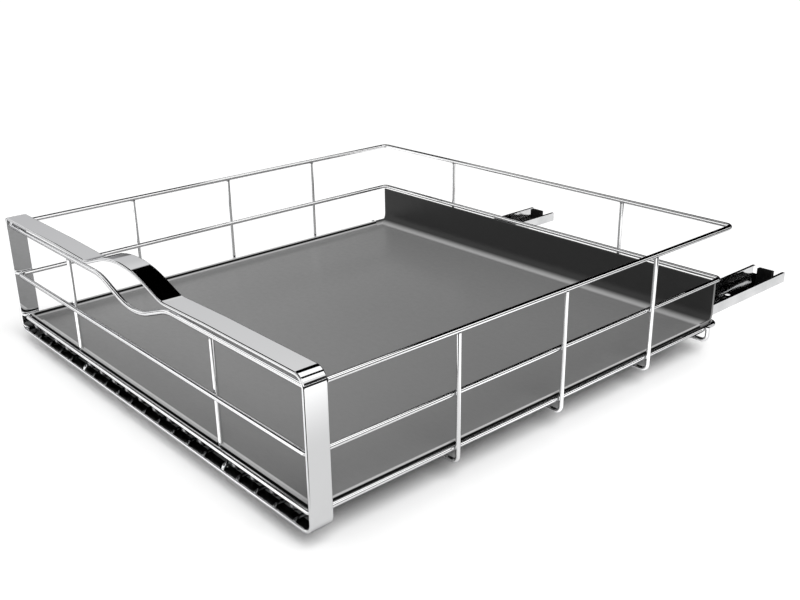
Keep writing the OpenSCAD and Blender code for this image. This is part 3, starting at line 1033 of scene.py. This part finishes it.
@dataclass
class SlidePair:
    """The two ball-bearing slides with their saddles, screws and stops, from the construction nodes."""

    finishes: Finishes
    break_edge: float = 0.35
    lip_edge: float = 0.55
    sharp_angle: float = 35.0

    def _dress(self, node: str, material: bpy.types.Material) -> None:
        """Gives a construction node its finish."""
        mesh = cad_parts[node].data
        mesh.materials.clear()
        mesh.materials.append(material)
        LOG.info("%s: dressed", node)

    def _soften(self, node: str, material: bpy.types.Material, body: Body, width: float) -> None:
        """Stands a copy with broken edges in a node's place.

        Args:
            node: the construction node.
            material: its finish.
            body: body that it rides on.
            width: width of the broken edges.
        """
        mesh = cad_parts[node].data.copy()
        shape = bmesh.new()
        shape.from_mesh(mesh)
        bmesh.ops.remove_doubles(shape, verts=shape.verts, dist=1e-6)
        bmesh.ops.dissolve_limit(shape, angle_limit=0.01, verts=shape.verts, edges=shape.edges)
        shape.to_mesh(mesh)
        shape.free()
        mesh.polygons.foreach_set("use_smooth", np.ones(len(mesh.polygons), bool))
        piece = add_piece(node + "_part", mesh, material, body, (node,))
        bevel = piece.modifiers.new("broken_edges", "BEVEL")
        bevel.width = width * MM
        bevel.segments = 3
        bevel.limit_method = "ANGLE"
        bevel.angle_limit = math.radians(self.sharp_angle)
        bevel.harden_normals = True

    def build(self) -> None:
        """Makes every piece of both slides."""
        f = self.finishes
        for side, middle in (("left", Body.MIDDLE_LEFT), ("right", Body.MIDDLE_RIGHT)):
            self._soften(f"cabinet_member_{side}", f.zinc, Body.RAILS, self.lip_edge)
            self._soften(f"middle_member_{side}", f.zinc, middle, self.break_edge)
            self._soften(f"drawer_member_{side}", f.zinc, Body.BASKET, self.break_edge)
            self._soften(f"saddles_{side}", f.zinc, Body.BASKET, self.break_edge)
            self._soften(f"saddle_screws_{side}", f.screw, Body.BASKET, self.break_edge)
            self._soften(f"end_bumper_{side}", f.rubber, Body.RAILS, self.break_edge)
            for row in ("outer", "inner"):
                self._dress(f"{row}_cage_{side}", f.cage)
                self._dress(f"{row}_balls_{side}", f.ball)


# ---- Studio ----


@dataclass(frozen=True)
class Viewpoint:
    """The camera: where it stands, how it is turned and how long its lens is."""

    place: Triple = (0.725378, -0.698655, 0.415179)
    yaw: float = 0.874
    pitch: float = -0.382
    roll: float = -0.024
    focal_px: float = 988.624
    middle_px: Pair = (378.551, 309.725)
    image: tuple[int, int] = (800, 600)
    sensor_mm: float = 36.0
    nearest: float = 0.01

    def build(self) -> None:
        """Makes the camera and puts it in charge."""
        cy, sy, cp, sp = math.cos(self.yaw), math.sin(self.yaw), math.cos(self.pitch), math.sin(self.pitch)
        ahead = Vector((-sy * cp, cy * cp, sp))
        level = Vector((cy, sy, 0))
        over = level.cross(ahead)
        cr, sr = math.cos(self.roll), math.sin(self.roll)
        right = cr * level + sr * over
        up = -sr * level + cr * over
        data = bpy.data.cameras.new("camera")
        data.sensor_width = self.sensor_mm
        data.lens = self.focal_px / self.image[0] * self.sensor_mm
        data.shift_x = (self.image[0] / 2 - self.middle_px[0]) / self.image[0]
        data.shift_y = (self.middle_px[1] - self.image[1] / 2) / self.image[0]
        data.clip_start = self.nearest
        camera = bpy.data.objects.new("camera", data)
        turn = Matrix((right, up, -ahead)).transposed().to_4x4()
        camera.matrix_world = Matrix.Translation(self.place) @ turn
        bpy.context.scene.collection.objects.link(camera)
        bpy.context.scene.camera = camera


@dataclass(frozen=True)
class Studio:
    """A white table in soft light from above, in a room that metal sees as pale walls, dark zones and cards.

    A brightness of 1 is white. A pair named for an axis or an edge is the span over which a zone gives way to
    the next: of a direction for the room, and of a place in metres for the table.
    """

    sky_base: float = 0.08
    sky_up: float = 0.56
    sky_least: float = 0.05
    key_strength: float = 2.14
    key_angle: float = 40.0
    key_from: Triple = (0.70, -0.19, 1.0)
    dark: float = 0.02
    wall: Pair = (1.25, 0.91)
    wall_z: Pair = (0.1, 0.42)
    foot_y: Pair = (0.34, 0.44)
    foot_z: Pair = (0.12, 0.16)
    high_foot_y: Pair = (0.43, 0.46)
    high_foot_z: Pair = (0.25, 0.30)
    ceiling_slope: float = 0.95
    ceiling_edge: Pair = (0.94, 0.96)
    front_y: Pair = (-0.20, -0.10)
    front_z: Pair = (0.50, 0.56)
    left_x: Pair = (-0.70, -0.66)
    left_y: Pair = (0.27, 0.33)
    left_z: Pair = (0.40, 0.44)
    card: float = 1.3
    back_card_x: Pair = (0.25, 0.27)
    back_card_y: Pair = (0.47, 0.49)
    back_card_z: Pair = (0.785, 0.805)
    side_card_x: Pair = (0.46, 0.48)
    table_size: float = 12.0
    table_white: float = 1.1
    table_plain: float = 0.45
    # Painted into what metal mirrors of the table: a glow brighter than white, and shade beside and behind
    # the object.
    table_painted_glow: float = 1.35
    table_painted_shade_front: float = 0.78
    table_painted_shade_rear: float = 0.92
    table_middle: Pair = (-0.15, -0.10)
    edge_reach: Pair = (0.74, 0.77)
    edge_end: Pair = (2.8, 3.0)
    beside_x: Pair = (0.17, 0.19)
    beside_end_x: Pair = (0.37, 0.51)
    behind_y: Pair = (0.25, 0.27)
    near_y: Pair = (-0.2, -0.1)
    rear_y: Pair = (0.04, 0.12)
    corner_x: Pair = (0.29, 0.33)
    corner_y: Pair = (-0.42, -0.38)

    def _mirrored(self, g: Graph, x: Socket, y: Socket, z: Socket) -> Socket:
        """Brightness that metal mirrors: pale walls with a dark foot, a sloping dark ceiling and two cards.

        Args:
            g: tree to build in.
            x: direction across.
            y: direction back.
            z: direction up.

        Returns:
            The brightness.
        """
        foot = g.times(g.step(y, self.foot_y), g.fall(z, self.foot_z))
        high_foot = g.times(g.step(y, self.high_foot_y), g.fall(z, self.high_foot_z))
        wall = g.mix(g.most(foot, high_foot), g.mix(g.step(z, self.wall_z), *self.wall), self.dark)
        slope = g.step(g.math("MULTIPLY_ADD", y, self.ceiling_slope, z), self.ceiling_edge)
        front = g.times(g.step(z, self.front_z), g.fall(y, self.front_y))
        left = g.times(g.fall(x, self.left_x), g.fall(y, self.left_y), g.step(z, self.left_z))
        ceiling = g.most(slope, front, left)
        back_card = g.times(g.step(y, self.back_card_y), g.step(z, self.back_card_z))
        back_card = g.times(back_card, g.fall(x, self.back_card_x))
        cards = g.times(g.most(back_card, g.step(x, self.side_card_x)), self.card)
        return g.mix(ceiling, wall, cards)

    def _world(self) -> None:
        """White to the camera, walls, cards and darkness to metal, a soft sky to everything else."""
        world = bpy.data.worlds.new("room")
        bpy.context.scene.world = world
        world.use_nodes = True
        tree = world.node_tree
        tree.nodes.clear()
        g = Graph(tree)
        path = tree.nodes.new("ShaderNodeLightPath")
        x, y, z = g.axes(tree.nodes.new("ShaderNodeTexCoord").outputs["Generated"])
        sky = g.most(g.math("MULTIPLY_ADD", z, self.sky_up, self.sky_base), self.sky_least)
        light = g.mix(path.outputs["Is Glossy Ray"], sky, self._mirrored(g, x, y, z))
        light = g.mix(path.outputs["Is Camera Ray"], light, 1.0)
        background = tree.nodes.new("ShaderNodeBackground")
        tree.links.new(light, background.inputs["Color"])
        output = tree.nodes.new("ShaderNodeOutputWorld")
        tree.links.new(background.outputs["Background"], output.inputs["Surface"])

    def _table(self) -> None:
        """A level table: white to the camera; what metal mirrors of it is painted, with a glow brighter than
        white, shade beside the object and dark patches far off and at the front right.
        """
        n = Nodes("studio_floor")
        path = n.tree.nodes.new("ShaderNodeLightPath")
        x, y, _ = n.axes(n.place)
        away = [n.math("SUBTRACT", axis, middle) for axis, middle in zip((x, y), self.table_middle)]
        reach = n.math("SQRT", n.math("ADD", *(n.times(side, side) for side in away)))
        # Painted dark patches in what metal mirrors: a ring far off and a corner at the front right.
        edge = n.times(n.step(reach, self.edge_reach), n.fall(reach, self.edge_end))
        corner = n.times(n.step(x, self.corner_x), n.fall(y, self.corner_y))
        # Painted shade in what metal mirrors: darker to the right of the object at its front and rear, and
        # behind it; a painted glow brighter than white everywhere else.
        beside = n.most(n.step(x, self.beside_x), n.step(y, self.behind_y))
        beside = n.times(beside, n.fall(x, self.beside_end_x))
        near = n.mix(n.step(y, self.near_y), self.table_painted_shade_front, self.table_painted_glow)
        near = n.mix(n.step(y, self.rear_y), near, self.table_painted_shade_rear)
        mirrored = n.mix(beside, self.table_painted_glow, near)
        mirrored = n.mix(n.most(edge, corner), mirrored, self.dark)
        tone = n.mix(path.outputs["Is Glossy Ray"], self.table_plain, mirrored)
        tone = n.mix(path.outputs["Is Camera Ray"], tone, self.table_white)
        n.set(Base_Color=tone, Roughness=1.0, Specular_IOR_Level=0.0)
        s = self.table_size / 2
        mesh = bpy.data.meshes.new("studio_floor")
        mesh.from_pydata([(-s, -s, 0), (s, -s, 0), (s, s, 0), (-s, s, 0)], [], [(0, 1, 2, 3)])
        mesh.materials.append(n.material)
        floor = bpy.data.objects.new("studio_floor", mesh)
        bpy.context.scene.collection.objects.link(floor)

    def _key(self) -> None:
        """A wide soft light from above, the right and a little in front, which metal doesn't mirror."""
        data = bpy.data.lights.new("key", "SUN")
        data.energy = self.key_strength
        data.angle = math.radians(self.key_angle)
        lamp = bpy.data.objects.new("key", data)
        lamp.matrix_world = Vector(self.key_from).to_track_quat("Z", "Y").to_matrix().to_4x4()
        lamp.visible_glossy = False
        bpy.context.scene.collection.objects.link(lamp)

    def build(self) -> None:
        """Builds the room, the table and the lamp."""
        self._world()
        self._table()
        self._key()
        bpy.context.scene.view_settings.view_transform = "Standard"


def main() -> None:
    """Builds the object and its studio."""
    logging.basicConfig(level=logging.INFO, format="%(name)s: %(message)s")
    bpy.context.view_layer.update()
    layout = Layout()
    finishes = Finishes()
    for piece in (StrapFrame(layout, finishes), WireWork(layout, finishes), LinerTray(layout, finishes),
                  SlidePair(finishes)):
        piece.build()
        LOG.info("built %s", type(piece).__name__)
    Viewpoint().build()
    Studio().build()


if __name__ == "__main__":
    main()
